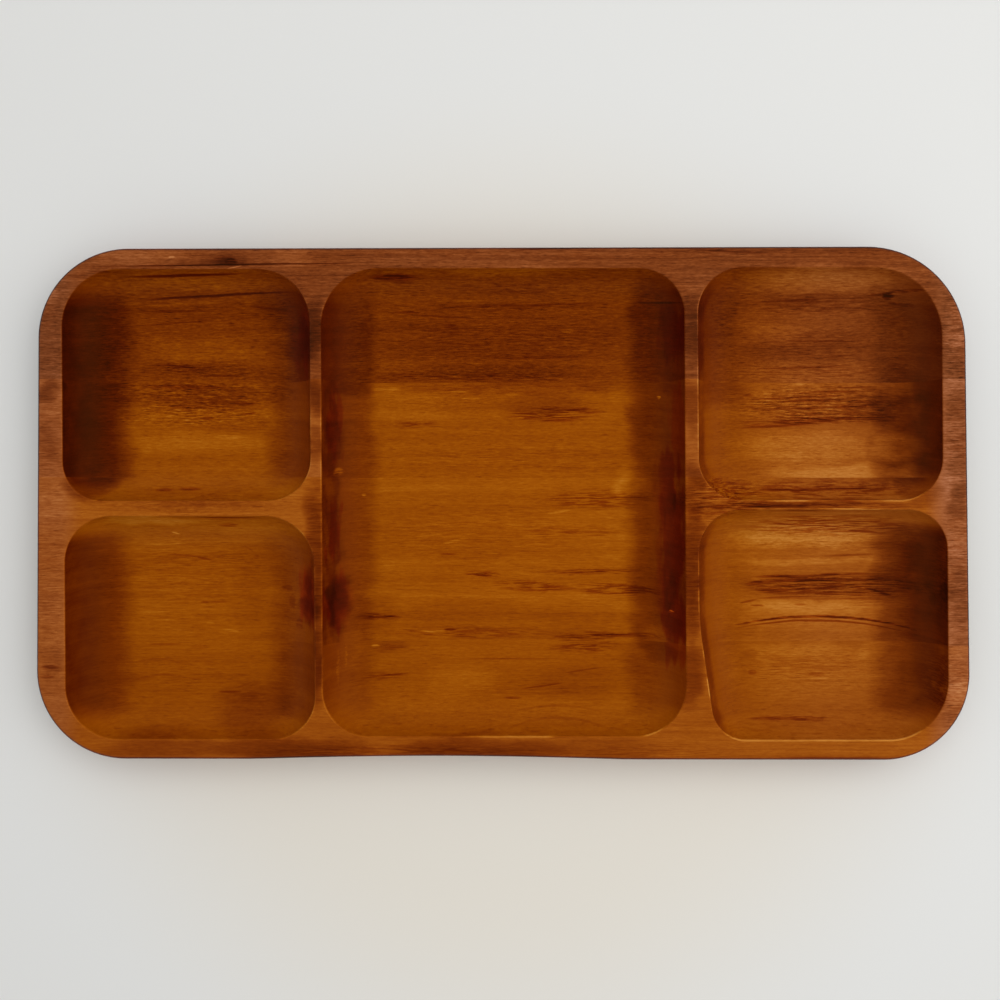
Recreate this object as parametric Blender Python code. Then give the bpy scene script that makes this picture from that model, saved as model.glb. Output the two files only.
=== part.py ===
"""Five-pocket serving tray, shaped and hollowed from a blank of four boards glued edge to edge.

Metres, +Z up. The origin is on the table, under the middle of the tray. +X runs along its length,
with the grain, and -Y is the front edge.
"""

import math

import bmesh
import bpy
from mathutils import Vector

TRAY_NAME = "compartment_tray"

# Outer shape, seen from above
TRAY_LENGTH = 0.5095  # along the front edge
TRAY_DEPTH = 0.2803  # along the right end
LEFT_END_TAPER = 0.0012  # how far in from the front left corner the back left corner lies
RIGHT_END_TAPER = 0.0034
BACK_TAPER = 0.0014  # how far in from the back right corner the back left corner lies
FRONT_TAPER = 0.0008
BACK_LEFT_CORNER = 0.049
BACK_RIGHT_CORNER = 0.0535
FRONT_RIGHT_CORNER = 0.047
FRONT_LEFT_CORNER = 0.0485

# Shallow hollow sanded into the front edge
HOLLOW_DEPTH = 0.0018
HOLLOW_LENGTH = 0.202
HOLLOW_OFFSET = -0.0345  # its middle, from the middle of the tray

# Outer shape, in section
THICKNESS = 0.026
TOP_EDGE_RADIUS = 0.0026
BASE_EDGE_RADIUS = 0.009

# Boards of the blank, and the glue lines between them
MIDDLE_SEAM = 0.0142  # this far behind the middle of the tray
UPPER_MIDDLE_BOARD = 0.0534
LOWER_MIDDLE_BOARD = 0.0918
GLUE_LINE = 0.0003
SAWN_ALLOWANCE = 0.004  # what is shaped away all round the blank

# Pockets, in section
FLOOR_THICKNESS = 0.0065
COVE_RADIUS = 0.024
RIM_EASE = 0.001
FLOOR_CORNER_RADIUS = 0.013
CUT_OVERRUN = 0.003

# Rims, dividers and ribs that the pockets leave standing
BACK_RIM = 0.0118
FRONT_RIM = 0.0113
CENTRE_FRONT_RIM = 0.0131
BACK_LEFT_RIM = 0.0138
FRONT_LEFT_RIM = 0.016
BACK_RIGHT_RIM = 0.0136
FRONT_RIGHT_RIM = 0.0122
BACK_LEFT_DIVIDER = 0.0067
FRONT_LEFT_DIVIDER = 0.0042
BACK_RIGHT_DIVIDER = 0.0073
FRONT_RIGHT_DIVIDER = 0.0079
LEFT_RIB = 0.0087
LEFT_RIB_PLACE = -0.0029  # the rib's middle, from the middle of the tray
RIGHT_RIB = 0.0054
RIGHT_RIB_PLACE = -0.001
CENTRE_POCKET_LENGTH = 0.1976
POCKET_LEAN = 0.0013  # the centre pocket's front edge lies this far right of its back edge
SIDE_POCKET_LEAN = 0.0008

# Corner radii at the rim: back left, back right, front right, front left
CENTRE_CORNERS = (0.031, 0.025, 0.0275, 0.025)
BACK_LEFT_CORNERS = (0.031, 0.0285, 0.023, 0.0215)
FRONT_LEFT_CORNERS = (0.025, 0.027, 0.023, 0.029)
BACK_RIGHT_CORNERS = (0.0245, 0.037, 0.023, 0.0235)
FRONT_RIGHT_CORNERS = (0.023, 0.0215, 0.032, 0.018)

# The front right pocket's left side bends inwards on its way to the front
BEND_SHIFT = 0.0089  # how far in it ends
BEND_PLACE = 0.51  # where it starts, as a share of the pocket's way from its front to its back
BEND_ROUND = 1.2  # the bend's radius, as a share of the same way

# Faces of the rounded shapes
OUTER_CORNER_STEPS = 12
POCKET_CORNER_STEPS = 8
HOLLOW_STEPS = 12
EDGE_STEPS = 4
COVE_STEPS = 8
EASE_STEPS = 3

BACK_BROWN = (0.17, 0.050, 0.012)
STREAKED_BROWN = (0.23, 0.068, 0.012)
GOLDEN_BROWN = (0.27, 0.080, 0.012)
FRONT_BROWN = (0.25, 0.074, 0.010)
OILED_ROUGHNESS = 0.42


def clear_scene():
    for old in list(bpy.data.objects):
        bpy.data.objects.remove(old, do_unlink=True)


def new_collection(name):
    collection = bpy.data.collections.new(name)
    bpy.context.scene.collection.children.link(collection)
    return collection


def wood(name, colour):
    """Oiled wood in one of the boards' own tones."""
    material = bpy.data.materials.new(name)
    material.use_nodes = True
    shader = material.node_tree.nodes["Principled BSDF"]
    shader.inputs["Base Color"].default_value = (*colour, 1)
    shader.inputs["Roughness"].default_value = OILED_ROUGHNESS
    shader.inputs["Metallic"].default_value = 0
    material.diffuse_color = (*colour, 1)
    return material


def inset_corner(before, corner, after, inset):
    """The corner of an anticlockwise outline after both its edges have moved inwards."""
    back = (before - corner).normalized()
    ahead = (after - corner).normalized()
    return corner + (back + ahead) * inset / abs(ahead.cross(back))


def rounded_outline(corners, radii, inset, steps):
    """Points of an anticlockwise outline with rounded corners, as one list of points for each corner."""
    moved = [
        inset_corner(corners[i - 1], corner, corners[(i + 1) % len(corners)], inset)
        for i, corner in enumerate(corners)
    ]
    arcs = []
    for i, corner in enumerate(moved):
        back = (moved[i - 1] - corner).normalized()
        ahead = (moved[(i + 1) % len(moved)] - corner).normalized()
        half_angle = back.angle(ahead) / 2
        centre = corner + (back + ahead).normalized() * radii[i] / math.sin(half_angle)
        first = corner + back * radii[i] / math.tan(half_angle) - centre
        turn = math.pi - 2 * half_angle
        arc = []
        for step in range(steps + 1):
            angle = turn * step / steps
            arc.append(
                centre
                + Vector(
                    (
                        first.x * math.cos(angle) - first.y * math.sin(angle),
                        first.x * math.sin(angle) + first.y * math.cos(angle),
                    )
                )
            )
        arcs.append(arc)
    return arcs


def loft(name, rows, collection):
    """A closed solid through rows of points, each row (outline, height) from the lowest to the highest."""
    mesh = bpy.data.meshes.new(name)
    shape = bmesh.new()
    loops = [[shape.verts.new((*point, height)) for point in outline] for outline, height in rows]
    for lower, upper in zip(loops, loops[1:]):
        for i, start in enumerate(lower):
            after = (i + 1) % len(lower)
            shape.faces.new((start, lower[after], upper[after], upper[i]))
    shape.faces.new(reversed(loops[0]))
    shape.faces.new(loops[-1])
    shape.to_mesh(mesh)
    shape.free()
    solid = bpy.data.objects.new(name, mesh)
    collection.objects.link(solid)
    return solid


def as_cutter(solid):
    solid.hide_render = True
    solid.display_type = "WIRE"
    return solid


def hollowed_front(start, end):
    """Points along the front edge from left to right, dipping inwards over the hollow."""
    direction = (end - start).normalized()
    inwards = Vector((-direction.y, direction.x))
    first = HOLLOW_OFFSET - HOLLOW_LENGTH / 2
    points = []
    for step in range(1, HOLLOW_STEPS):
        along = step / HOLLOW_STEPS
        x = first + HOLLOW_LENGTH * along
        on_edge = start + direction * (x - start.x) / direction.x
        points.append(on_edge + inwards * HOLLOW_DEPTH * math.sin(math.pi * along))
    return points


def left_end(y):
    """X of the tray's left end, which tapers towards the back."""
    return -TRAY_LENGTH / 2 + LEFT_END_TAPER * (0.5 + y / TRAY_DEPTH)


def right_end(y):
    return TRAY_LENGTH / 2 - RIGHT_END_TAPER * (0.5 + y / TRAY_DEPTH)


def front_side(x):
    """Y of the tray's front side, which tapers towards the left."""
    return -TRAY_DEPTH / 2 + FRONT_TAPER * (0.5 - x / TRAY_LENGTH)


def back_side(x):
    return TRAY_DEPTH / 2 - BACK_TAPER * (0.5 - x / TRAY_LENGTH)


def outer_outline(inset):
    """The tray's outline from above, starting at its front left corner."""
    half_length = TRAY_LENGTH / 2
    half_depth = TRAY_DEPTH / 2
    corners = [
        Vector((left_end(-half_depth), front_side(-half_length))),
        Vector((right_end(-half_depth), front_side(half_length))),
        Vector((right_end(half_depth), back_side(half_length))),
        Vector((left_end(half_depth), back_side(-half_length))),
    ]
    radii = [
        radius - inset
        for radius in (FRONT_LEFT_CORNER, FRONT_RIGHT_CORNER, BACK_RIGHT_CORNER, BACK_LEFT_CORNER)
    ]
    front_left, *other_arcs = rounded_outline(corners, radii, inset, OUTER_CORNER_STEPS)
    outline = front_left + hollowed_front(front_left[-1], other_arcs[0][0])
    for arc in other_arcs:
        outline += arc
    return outline


def tray_form(collection):
    """The outer shape: an undercut base, upright sides and an eased top edge."""
    rows = []
    for step in range(EDGE_STEPS + 1):
        angle = math.pi / 2 * step / EDGE_STEPS
        inset = BASE_EDGE_RADIUS * (1 - math.sin(angle))
        rows.append((outer_outline(inset), BASE_EDGE_RADIUS * (1 - math.cos(angle))))
    for step in range(EDGE_STEPS + 1):
        angle = math.pi / 2 * step / EDGE_STEPS
        inset = TOP_EDGE_RADIUS * (1 - math.cos(angle))
        height = THICKNESS - TOP_EDGE_RADIUS * (1 - math.sin(angle))
        rows.append((outer_outline(inset), height))
    return as_cutter(loft("tray_form", rows, collection))


def pocket_section():
    """(inset from the wall line, height) up the side of a pocket, from its floor to above the rim."""
    wall_top = THICKNESS - RIM_EASE
    rise = min(wall_top - FLOOR_THICKNESS, COVE_RADIUS)
    sweep = math.acos(1 - rise / COVE_RADIUS)
    reach = COVE_RADIUS * math.sin(sweep)
    section = []
    for step in range(COVE_STEPS + 1):
        angle = sweep * step / COVE_STEPS
        height = FLOOR_THICKNESS + COVE_RADIUS * (1 - math.cos(angle))
        section.append((reach - COVE_RADIUS * math.sin(angle), height))
    for step in range(1, EASE_STEPS):
        angle = math.pi / 2 * step / EASE_STEPS
        section.append((RIM_EASE * (math.cos(angle) - 1), wall_top + RIM_EASE * math.sin(angle)))
    # The last face of the eased edge runs on past the rim, as far above it as it starts below
    last_inset, last_height = section[-1]
    section.append((2 * -RIM_EASE - last_inset, 2 * THICKNESS - last_height))
    section.append((section[-1][0], THICKNESS + CUT_OVERRUN))
    return section


def pocket_cutter(name, left, right, front, back, lean, corner_radii, bend, collection):
    """What is carved out for one pocket: a flat floor and coved sides up to an eased rim.

    bend is how far in from its straight line the left side ends at the front.
    """
    shift = lean / 2
    corners = [
        Vector((left + shift + bend, front)),
        Vector((right + shift, front)),
        Vector((right - shift, back)),
        Vector((left - shift, back)),
    ]
    back_left, back_right, front_right, front_left = corner_radii
    rim_radii = [front_left, front_right, back_right, back_left]
    way = back - front
    if bend > 0:
        corners.append(Vector((left + shift - lean * BEND_PLACE, front + way * BEND_PLACE)))
    section = pocket_section()
    reach = section[0][0]
    rows = []
    for inset, height in section:
        towards_floor = max(inset, 0) / reach
        radii = [
            rim + (FLOOR_CORNER_RADIUS - rim) * towards_floor + max(-inset, 0)
            for rim in rim_radii
        ]
        if bend > 0:
            radii.append(way * BEND_ROUND)
        arcs = rounded_outline(corners, radii, inset, POCKET_CORNER_STEPS)
        rows.append((sum(arcs, []), height))
    return as_cutter(loft(name, rows, collection))


def carve_pockets(collection):
    """The five pockets, each set in from the tray's own edges by its rims, dividers and ribs."""
    side_x = TRAY_LENGTH / 3
    side_y = TRAY_DEPTH / 4
    centre_left = -CENTRE_POCKET_LENGTH / 2
    centre_right = CENTRE_POCKET_LENGTH / 2
    plans = {
        "centre_pocket": (
            centre_left,
            centre_right,
            front_side(0) + CENTRE_FRONT_RIM,
            back_side(0) - BACK_RIM,
            POCKET_LEAN,
            CENTRE_CORNERS,
            0,
        ),
        "back_left_pocket": (
            left_end(side_y) + BACK_LEFT_RIM,
            centre_left - BACK_LEFT_DIVIDER,
            LEFT_RIB_PLACE + LEFT_RIB / 2,
            back_side(-side_x) - BACK_RIM,
            SIDE_POCKET_LEAN,
            BACK_LEFT_CORNERS,
            0,
        ),
        "front_left_pocket": (
            left_end(-side_y) + FRONT_LEFT_RIM,
            centre_left - FRONT_LEFT_DIVIDER,
            front_side(-side_x) + FRONT_RIM,
            LEFT_RIB_PLACE - LEFT_RIB / 2,
            SIDE_POCKET_LEAN,
            FRONT_LEFT_CORNERS,
            0,
        ),
        "back_right_pocket": (
            centre_right + BACK_RIGHT_DIVIDER,
            right_end(side_y) - BACK_RIGHT_RIM,
            RIGHT_RIB_PLACE + RIGHT_RIB / 2,
            back_side(side_x) - BACK_RIM,
            SIDE_POCKET_LEAN,
            BACK_RIGHT_CORNERS,
            0,
        ),
        "front_right_pocket": (
            centre_right + FRONT_RIGHT_DIVIDER,
            right_end(-side_y) - FRONT_RIGHT_RIM,
            front_side(side_x) + FRONT_RIM,
            RIGHT_RIB_PLACE - RIGHT_RIB / 2,
            SIDE_POCKET_LEAN,
            FRONT_RIGHT_CORNERS,
            BEND_SHIFT,
        ),
    }
    for name, plan in plans.items():
        pocket_cutter(name, *plan, collection)


def board(name, front, back, colour, form, pockets, collection):
    """One board of the glued blank, sawn square, then shaped to the tray's form and hollowed."""
    length = TRAY_LENGTH + 2 * SAWN_ALLOWANCE
    bpy.ops.mesh.primitive_cube_add(size=1, location=(0, (front + back) / 2, THICKNESS / 2))
    piece = bpy.context.object
    piece.name = name
    piece.data.name = name
    piece.scale = (length, back - front, THICKNESS + 2 * SAWN_ALLOWANCE)
    bpy.ops.object.transform_apply(location=False, rotation=False, scale=True)
    piece.data.materials.append(wood(name + "_wood", colour))
    for owner in list(piece.users_collection):
        owner.objects.unlink(piece)
    collection.objects.link(piece)
    shaping = piece.modifiers.new("outer_shape", "BOOLEAN")
    shaping.operation = "INTERSECT"
    shaping.solver = "EXACT"
    shaping.object = form
    hollowing = piece.modifiers.new("pockets", "BOOLEAN")
    hollowing.operation = "DIFFERENCE"
    hollowing.solver = "EXACT"
    hollowing.operand_type = "COLLECTION"
    hollowing.collection = pockets
    return piece


def glued_blank(form, pockets, collection):
    back_seam = MIDDLE_SEAM + UPPER_MIDDLE_BOARD
    front_seam = MIDDLE_SEAM - LOWER_MIDDLE_BOARD
    outside = TRAY_DEPTH / 2 + SAWN_ALLOWANCE
    half_line = GLUE_LINE / 2
    boards = {
        "back_board": (back_seam + half_line, outside, BACK_BROWN),
        "upper_middle_board": (MIDDLE_SEAM + half_line, back_seam - half_line, STREAKED_BROWN),
        "lower_middle_board": (front_seam + half_line, MIDDLE_SEAM - half_line, GOLDEN_BROWN),
        "front_board": (-outside, front_seam - half_line, FRONT_BROWN),
    }
    for name, (front, back, colour) in boards.items():
        board(name, front, back, colour, form, pockets, collection)


def main():
    clear_scene()
    tray = new_collection(TRAY_NAME)
    forms = new_collection("forms")
    pockets = new_collection("pockets")
    form = tray_form(forms)
    carve_pockets(pockets)
    glued_blank(form, pockets, tray)


main()
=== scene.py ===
import math

import bmesh
import bpy
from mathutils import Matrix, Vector


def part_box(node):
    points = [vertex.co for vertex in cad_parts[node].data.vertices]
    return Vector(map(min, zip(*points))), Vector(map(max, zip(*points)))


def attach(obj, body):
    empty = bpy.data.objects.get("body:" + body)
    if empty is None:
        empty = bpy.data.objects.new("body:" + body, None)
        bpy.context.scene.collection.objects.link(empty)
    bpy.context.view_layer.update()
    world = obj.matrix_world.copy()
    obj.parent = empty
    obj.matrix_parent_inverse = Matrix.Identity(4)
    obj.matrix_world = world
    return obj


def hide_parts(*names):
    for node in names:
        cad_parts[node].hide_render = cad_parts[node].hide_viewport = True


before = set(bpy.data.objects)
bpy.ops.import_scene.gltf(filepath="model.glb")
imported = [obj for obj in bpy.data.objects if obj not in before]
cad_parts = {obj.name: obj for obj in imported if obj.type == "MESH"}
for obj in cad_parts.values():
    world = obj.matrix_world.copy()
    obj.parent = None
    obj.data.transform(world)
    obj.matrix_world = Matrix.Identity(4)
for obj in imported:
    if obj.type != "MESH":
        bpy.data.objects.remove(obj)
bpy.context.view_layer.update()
mm = 0.001
weldDistance = 1e-7  # in metres, as the next one is
levelDistance = 1e-6

# Lengths here are in millimetres. Corners run anticlockwise from the front left one.
trayForm = {
    "corners": ((-254.75, -139.35), (254.75, -140.15), (251.35, 140.15), (-253.55, 138.75)),
    "cornerRadii": (48.5, 47.0, 53.5, 49.0),
    "thickness": 26.0,
    "topRound": 2.6,
    "topRoundSegments": 8,
    "baseRound": 9.0,
    "baseRoundSegments": 12,
    "cornerSegments": 36,
    "hollowMiddle": -34.5,  # the hand-sanded dip in the front edge
    "hollowLength": 202.0,
    "hollowDepth": 1.8,
    "frontEdgeCuts": 60,
}

pocketForm = {
    "floorHeight": 6.5,
    "coveRadius": 24.0,
    "floorCornerRadius": 13.0,
    "rimEase": 1.0,
    "coveSteps": 22,
    "easeSteps": 6,
    "cornerSegments": 26,
}

# (left, right, front, back), how far the sides lean to the right at the front, corner radii at the rim
pocketPlans = {
    "centre": ((-98.8, 98.8, -126.65, 127.65), 1.3, (25.0, 27.5, 25.0, 31.0)),
    "backLeft": ((-240.05, -105.5, 1.45, 127.18), 0.8, (21.5, 23.0, 28.5, 31.0)),
    "frontLeft": ((-238.45, -103.0, -128.18, -7.25), 0.8, (29.0, 23.0, 27.0, 25.0)),
    "backRight": ((106.1, 238.6, 1.7, 128.12), 0.8, (23.5, 23.0, 37.0, 24.5)),
    "frontRight": ((106.7, 241.7, -128.72, -3.7), 0.8, (18.0, 32.0, 21.5, 23.0)),
}

# That pocket's left side bends inwards on its way to the front
sideBend = {"pocket": "frontRight", "shift": 8.9, "length": 63.7, "radius": 150.0}


def roundedFace(shape, corners, radii, height, segments):
    verts = [shape.verts.new((x * mm, y * mm, height * mm)) for x, y in corners]
    others = set(shape.faces)
    bmesh.ops.contextual_create(shape, geom=verts)
    for vert, radius in zip(verts, radii):
        before, after = (edge.other_vert(vert).co - vert.co for edge in vert.link_edges)
        reach = radius * mm / math.tan(before.angle(after) / 2)  # from the corner to where its arc starts
        bmesh.ops.bevel(
            shape,
            geom=[vert],
            offset=reach,
            offset_type="OFFSET",
            affect="VERTICES",
            segments=segments,
            profile=0.5,
            material=-1,
        )
    return next(face for face in shape.faces if face not in others)


def openOutline(shape, face):
    edges = list(face.edges)
    bmesh.ops.delete(shape, geom=[face], context="FACES_ONLY")
    return edges


def outerForm(shape):
    form = trayForm
    base = roundedFace(shape, form["corners"], form["cornerRadii"], 0.0, form["cornerSegments"])
    frontEdges = [edge for edge in base.edges if edge.verts[0].co.y < 0]
    front = max(frontEdges, key=lambda edge: edge.calc_length())
    cuts = bmesh.ops.subdivide_edges(shape, edges=[front], cuts=form["frontEdgeCuts"])
    start = form["hollowMiddle"] - form["hollowLength"] / 2
    for vert in (item for item in cuts["geom_inner"] if isinstance(item, bmesh.types.BMVert)):
        along = (vert.co.x / mm - start) / form["hollowLength"]
        if 0 < along < 1:
            vert.co.y += form["hollowDepth"] * mm * math.sin(math.pi * along)
    risen = bmesh.ops.extrude_face_region(shape, geom=list(base.edges) + [base])["geom"]
    top = [item for item in risen if isinstance(item, bmesh.types.BMVert)]
    bmesh.ops.translate(shape, verts=top, vec=(0, 0, form["thickness"] * mm))
    for level, radius, segments in (
        (0.0, form["baseRound"], form["baseRoundSegments"]),
        (form["thickness"], form["topRound"], form["topRoundSegments"]),
    ):
        rim = [
            edge
            for edge in shape.edges
            if all(abs(vert.co.z - level * mm) < levelDistance for vert in edge.verts)
        ]
        bmesh.ops.bevel(
            shape,
            geom=rim,
            offset=radius * mm,
            offset_type="OFFSET",
            affect="EDGES",
            segments=segments,
            profile=0.5,
            material=-1,
        )
    lid = max(shape.faces, key=lambda face: face.calc_center_median().z * face.calc_area())
    return openOutline(shape, lid)


def pocketSection():
    # (inset from the rim's line, height) from the floor up to the top of the eased rim
    form = pocketForm
    wallTop = trayForm["thickness"] - form["rimEase"]
    sweep = math.acos(1 - (wallTop - form["floorHeight"]) / form["coveRadius"])
    reach = form["coveRadius"] * math.sin(sweep)
    section = []
    for step in range(form["coveSteps"] + 1):
        angle = sweep * step / form["coveSteps"]
        height = form["floorHeight"] + form["coveRadius"] * (1 - math.cos(angle))
        section.append((reach - form["coveRadius"] * math.sin(angle), height))
    for step in range(1, form["easeSteps"] + 1):
        angle = math.pi / 2 * step / form["easeSteps"]
        height = wallTop + form["rimEase"] * math.sin(angle)
        section.append((form["rimEase"] * (math.cos(angle) - 1), height))
    return section


def pocketForms(shape, sides, lean, rimRadii, bends):
    # Returns the edges of the pocket's mouth
    left, right, front, back = sides
    shift = sideBend["shift"] if bends else 0.0
    slant = math.atan2(shift, sideBend["length"])
    section = pocketSection()
    reach = section[0][0]
    below = None
    for inset, height in section:
        frontLeft = left + inset * (1 / math.cos(slant) - math.tan(slant)) + lean / 2 + shift
        corners = [
            (frontLeft, front + inset),
            (right - inset + lean / 2, front + inset),
            (right - inset - lean / 2, back - inset),
            (left + inset - lean / 2, back - inset),
        ]
        towardsFloor = max(inset, 0) / reach
        radii = [
            rim + (pocketForm["floorCornerRadius"] - rim) * towardsFloor + max(-inset, 0)
            for rim in rimRadii
        ]
        if bends:
            along = sideBend["length"] + inset * math.tan(slant / 2)
            corners.append((left + inset + lean / 2 - lean * along / (back - front), front + along))
            radii.append(sideBend["radius"])
        face = roundedFace(shape, corners, radii, height, pocketForm["cornerSegments"])
        if below is None:
            below = list(face.edges)  # the floor's own face stays
            continue
        outline = openOutline(shape, face)
        bmesh.ops.bridge_loops(shape, edges=below + outline)
        below = outline
    return below


def wholeTray():
    shape = bmesh.new()
    edges = outerForm(shape)
    for name, (sides, lean, rimRadii) in pocketPlans.items():
        edges += pocketForms(shape, sides, lean, rimRadii, name == sideBend["pocket"])
    bmesh.ops.triangle_fill(shape, edges=edges, use_beauty=True, use_dissolve=False, normal=(0, 0, 1))
    bmesh.ops.remove_doubles(shape, verts=shape.verts, dist=weldDistance)
    bmesh.ops.recalc_face_normals(shape, faces=shape.faces)
    return shape


def sawAt(shape, seam, keepBack):
    cut = bmesh.ops.bisect_plane(
        shape,
        geom=list(shape.verts) + list(shape.edges) + list(shape.faces),
        plane_co=(0, seam, 0),
        plane_no=(0, 1, 0),
        clear_inner=keepBack,
        clear_outer=not keepBack,
        dist=weldDistance,
    )["geom_cut"]
    edges = [item for item in cut if isinstance(item, bmesh.types.BMEdge)]
    glued = bmesh.ops.holes_fill(shape, edges=edges)["faces"]
    bmesh.ops.triangulate(shape, faces=glued)


# Edges sharper than this many degrees stay sharp, and large faces lead the shading
shading = {"sharpAngle": 40.0, "faceWeight": 90}


def fineBoard(whole, name, node, frontSeam, backSeam, material):
    shape = whole.copy()
    if backSeam is not None:
        sawAt(shape, backSeam, False)
    if frontSeam is not None:
        sawAt(shape, frontSeam, True)
    bmesh.ops.recalc_face_normals(shape, faces=shape.faces)
    for face in shape.faces:
        face.smooth = True
    mesh = bpy.data.meshes.new(name)
    shape.to_mesh(mesh)
    loose = [edge for edge in shape.edges if len(edge.link_faces) != 2]
    print(name, len(shape.faces), "faces", len(loose), "open edges")
    shape.free()
    mesh.set_sharp_from_angle(angle=math.radians(shading["sharpAngle"]))
    mesh.materials.append(material)
    board = bpy.data.objects.new(name, mesh)
    bpy.context.scene.collection.objects.link(board)
    weighted = board.modifiers.new("evenShading", "WEIGHTED_NORMAL")
    weighted.keep_sharp = True
    weighted.weight = shading["faceWeight"]
    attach(board, "root")
    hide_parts(node)


class Wire:
    # One output socket. Arithmetic on it adds Math nodes, and add() adds any other node.
    def __init__(self, tree, socket=None):
        self.tree = tree
        self.socket = socket

    def add(self, kind, settings, inputs, output=0):
        node = self.tree.nodes.new(kind)
        for name, value in settings.items():
            if name == "stops":
                self.setStops(node.color_ramp, value)
            else:
                setattr(node, name, value)
        for name, value in inputs.items():
            if isinstance(value, Wire):
                self.tree.links.new(value.socket, node.inputs[name])
            else:
                node.inputs[name].default_value = value
        return Wire(self.tree, node.outputs[output])

    def setStops(self, ramp, stops):
        while len(ramp.elements) < len(stops):
            ramp.elements.new(1.0)
        for element, (position, colour) in zip(ramp.elements, stops):
            element.position = position
            element.color = (*colour, 1.0)

    def other(self, output):
        return Wire(self.tree, self.socket.node.outputs[output])

    def maths(self, operation, first, second=0.0):
        return self.add("ShaderNodeMath", {"operation": operation}, {0: first, 1: second})

    def between(self, low, high, toLow=0.0, toHigh=1.0):
        return self.add(
            "ShaderNodeMapRange",
            {"interpolation_type": "SMOOTHSTEP"},
            {"Value": self, "From Min": low, "From Max": high, "To Min": toLow, "To Max": toHigh},
        )

    def vector(self, operation, *values, output=0):
        return self.add("ShaderNodeVectorMath", {"operation": operation}, dict(enumerate(values)), output)

    def dot(self, first, second):
        return self.vector("DOT_PRODUCT", first, second, output=1)

    def mix(self, factor, first, second, blend="MIX"):
        settings = {"data_type": "RGBA", "blend_type": blend}
        return self.add("ShaderNodeMix", settings, {"Factor": factor, 6: first, 7: second}, 2)

    def __add__(self, other):
        return self.maths("ADD", self, other)

    def __radd__(self, other):
        return self.maths("ADD", other, self)

    def __sub__(self, other):
        return self.maths("SUBTRACT", self, other)

    def __rsub__(self, other):
        return self.maths("SUBTRACT", other, self)

    def __mul__(self, other):
        return self.maths("MULTIPLY", self, other)

    def __rmul__(self, other):
        return self.maths("MULTIPLY", other, self)

    def __truediv__(self, other):
        return self.maths("DIVIDE", self, other)

    def __pow__(self, other):
        return self.maths("POWER", self, other)

    def __abs__(self):
        return self.maths("ABSOLUTE", self)


def linear(colour):
    # From a screen colour of 0 to 255 to the light that it stands for
    light = []
    for value in (part / 255 for part in colour):
        light.append(value / 12.92 if value <= 0.04045 else ((value + 0.055) / 1.055) ** 2.4)
    return tuple(light)


# Oiled wood from darkest to lightest. Each stop is placed at its own red value, so a tone is a red
# value of 0 to 1.
oiledColours = (
    (38, 6, 0),
    (62, 13, 0),
    (83, 22, 0),
    (96, 33, 0),
    (113, 44, 1),
    (127, 56, 2),
    (140, 67, 2),
    (153, 79, 5),
    (167, 95, 14),
    (188, 120, 40),
)
# The same wood where the oil has worn off, which on the rims also stands for painted sheen
wornAndSheenColours = ((38, 14, 6), (83, 37, 15), (113, 57, 27), (131, 71, 38), (153, 90, 56), (180, 120, 85))

# Each tone is what its noise spans, from its darkest to its lightest. Lengths are in millimetres.
woodLook = {
    "lightLevel": 0.86,  # how much of the light on white reaches the tray, as tones are screen colours
    "drift": 2.2,
    "ripple": 0.8,
    "tilt": 0.22,  # how far the layers move to the front for each millimetre up
    "layerDepth": 0.25,  # how fast the grain changes downwards
    "layerTone": 0.13,
    "fibreTone": 0.12,
    "fleckTone": 0.10,
    "lineTone": 0.05,
    "poreTone": 0.05,
    "cloudTone": 0.07,
    "strandTone": 0.10,
    "rimCoarse": 2.2,  # how coarse the right end of the rim is, where the left end is 1
    "coarseShare": 0.55,  # of the extra coarseness that goes to fibres and flecks
    "fray": (3.2, 0.8),  # how far marks and streaks fray along and across the grain
    "blots": (17.0, 9.0, 0.0),  # how uneven the edges of the zones are
    "runs": (16.0, 26.0, 0.0),  # and those of the stains and their painted shade
    "markEdge": 0.15,
    "stainAndShadeEdge": 0.2,
    "thinMark": 1.0,  # marks of less than this half width are single lines, and wider ones are threads
    "endSmooth": 0.75,
    "endRagged": 20.0,  # how uneven the edge of the dark end grain and its painted shade is
    "lossLeast": 0.7,  # the share of its loss outside the smudges, and how much they add
    "lossMore": 0.6,
    "wearAndSheenLeast": 0.6,  # the share of the wear and painted sheen outside the clouds, and how much they add
    "wearAndSheenMore": 0.8,
    "markRed": (1.0, 0.75, 0.55, 1.0),  # what marks and streaks do to the colour
    "stainAndShadeRed": (1.0, 0.5, 0.5, 1.0),  # what the red stains and painted shade on the walls do
    "roughness": 0.44,
    "roughnessSpread": 0.16,
    "poreRoughness": 0.1,
    "rimRoughness": 0.06,
    "bump": 0.00006,
    "bumpStrength": 0.5,
    "bumpFibres": 0.5,  # beside the pores, whose share is 1
    "bumpRipple": 0.6,
    "specular": 0.17,
    "specularTint": (1.0, 0.5, 0.12),
}

# Each noise's lengths along X, Y and Z, its detail, and where it has them its roughness and distortion
woodNoises = {
    "drift": ((110.0, 26.0, 26.0), 1.0),
    "ripple": ((15.0, 4.5, 4.5), 2.0),
    "layers": ((230.0, 5.0, 60.0), 5.0, 0.62),
    "fibres": ((6.0, 0.9, 0.9), 3.0, 0.6),
    "flecks": ((2.8, 0.7, 0.7), 2.0, 0.6, 0.4),
    "longLines": ((70.0, 1.0, 1.0), 2.0, 0.6),
    "pores": ((6.0, 0.45, 0.45), 1.0),
    "clouds": ((46.0, 20.0, 20.0), 3.0),
    "blots": ((20.0, 11.0, 11.0), 2.0),
    "runs": ((3.5, 22.0, 9.0), 3.0),
    "broken": ((11.0, 0.7, 0.7), 3.0, 0.6),
    "threads": ((12.0, 0.8, 0.8), 2.0),
    "strands": ((16.0, 0.7, 0.7), 3.0, 0.65),
    "smudges": ((34.0, 17.0, 9.0), 3.0, 0.55),
}

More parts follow.
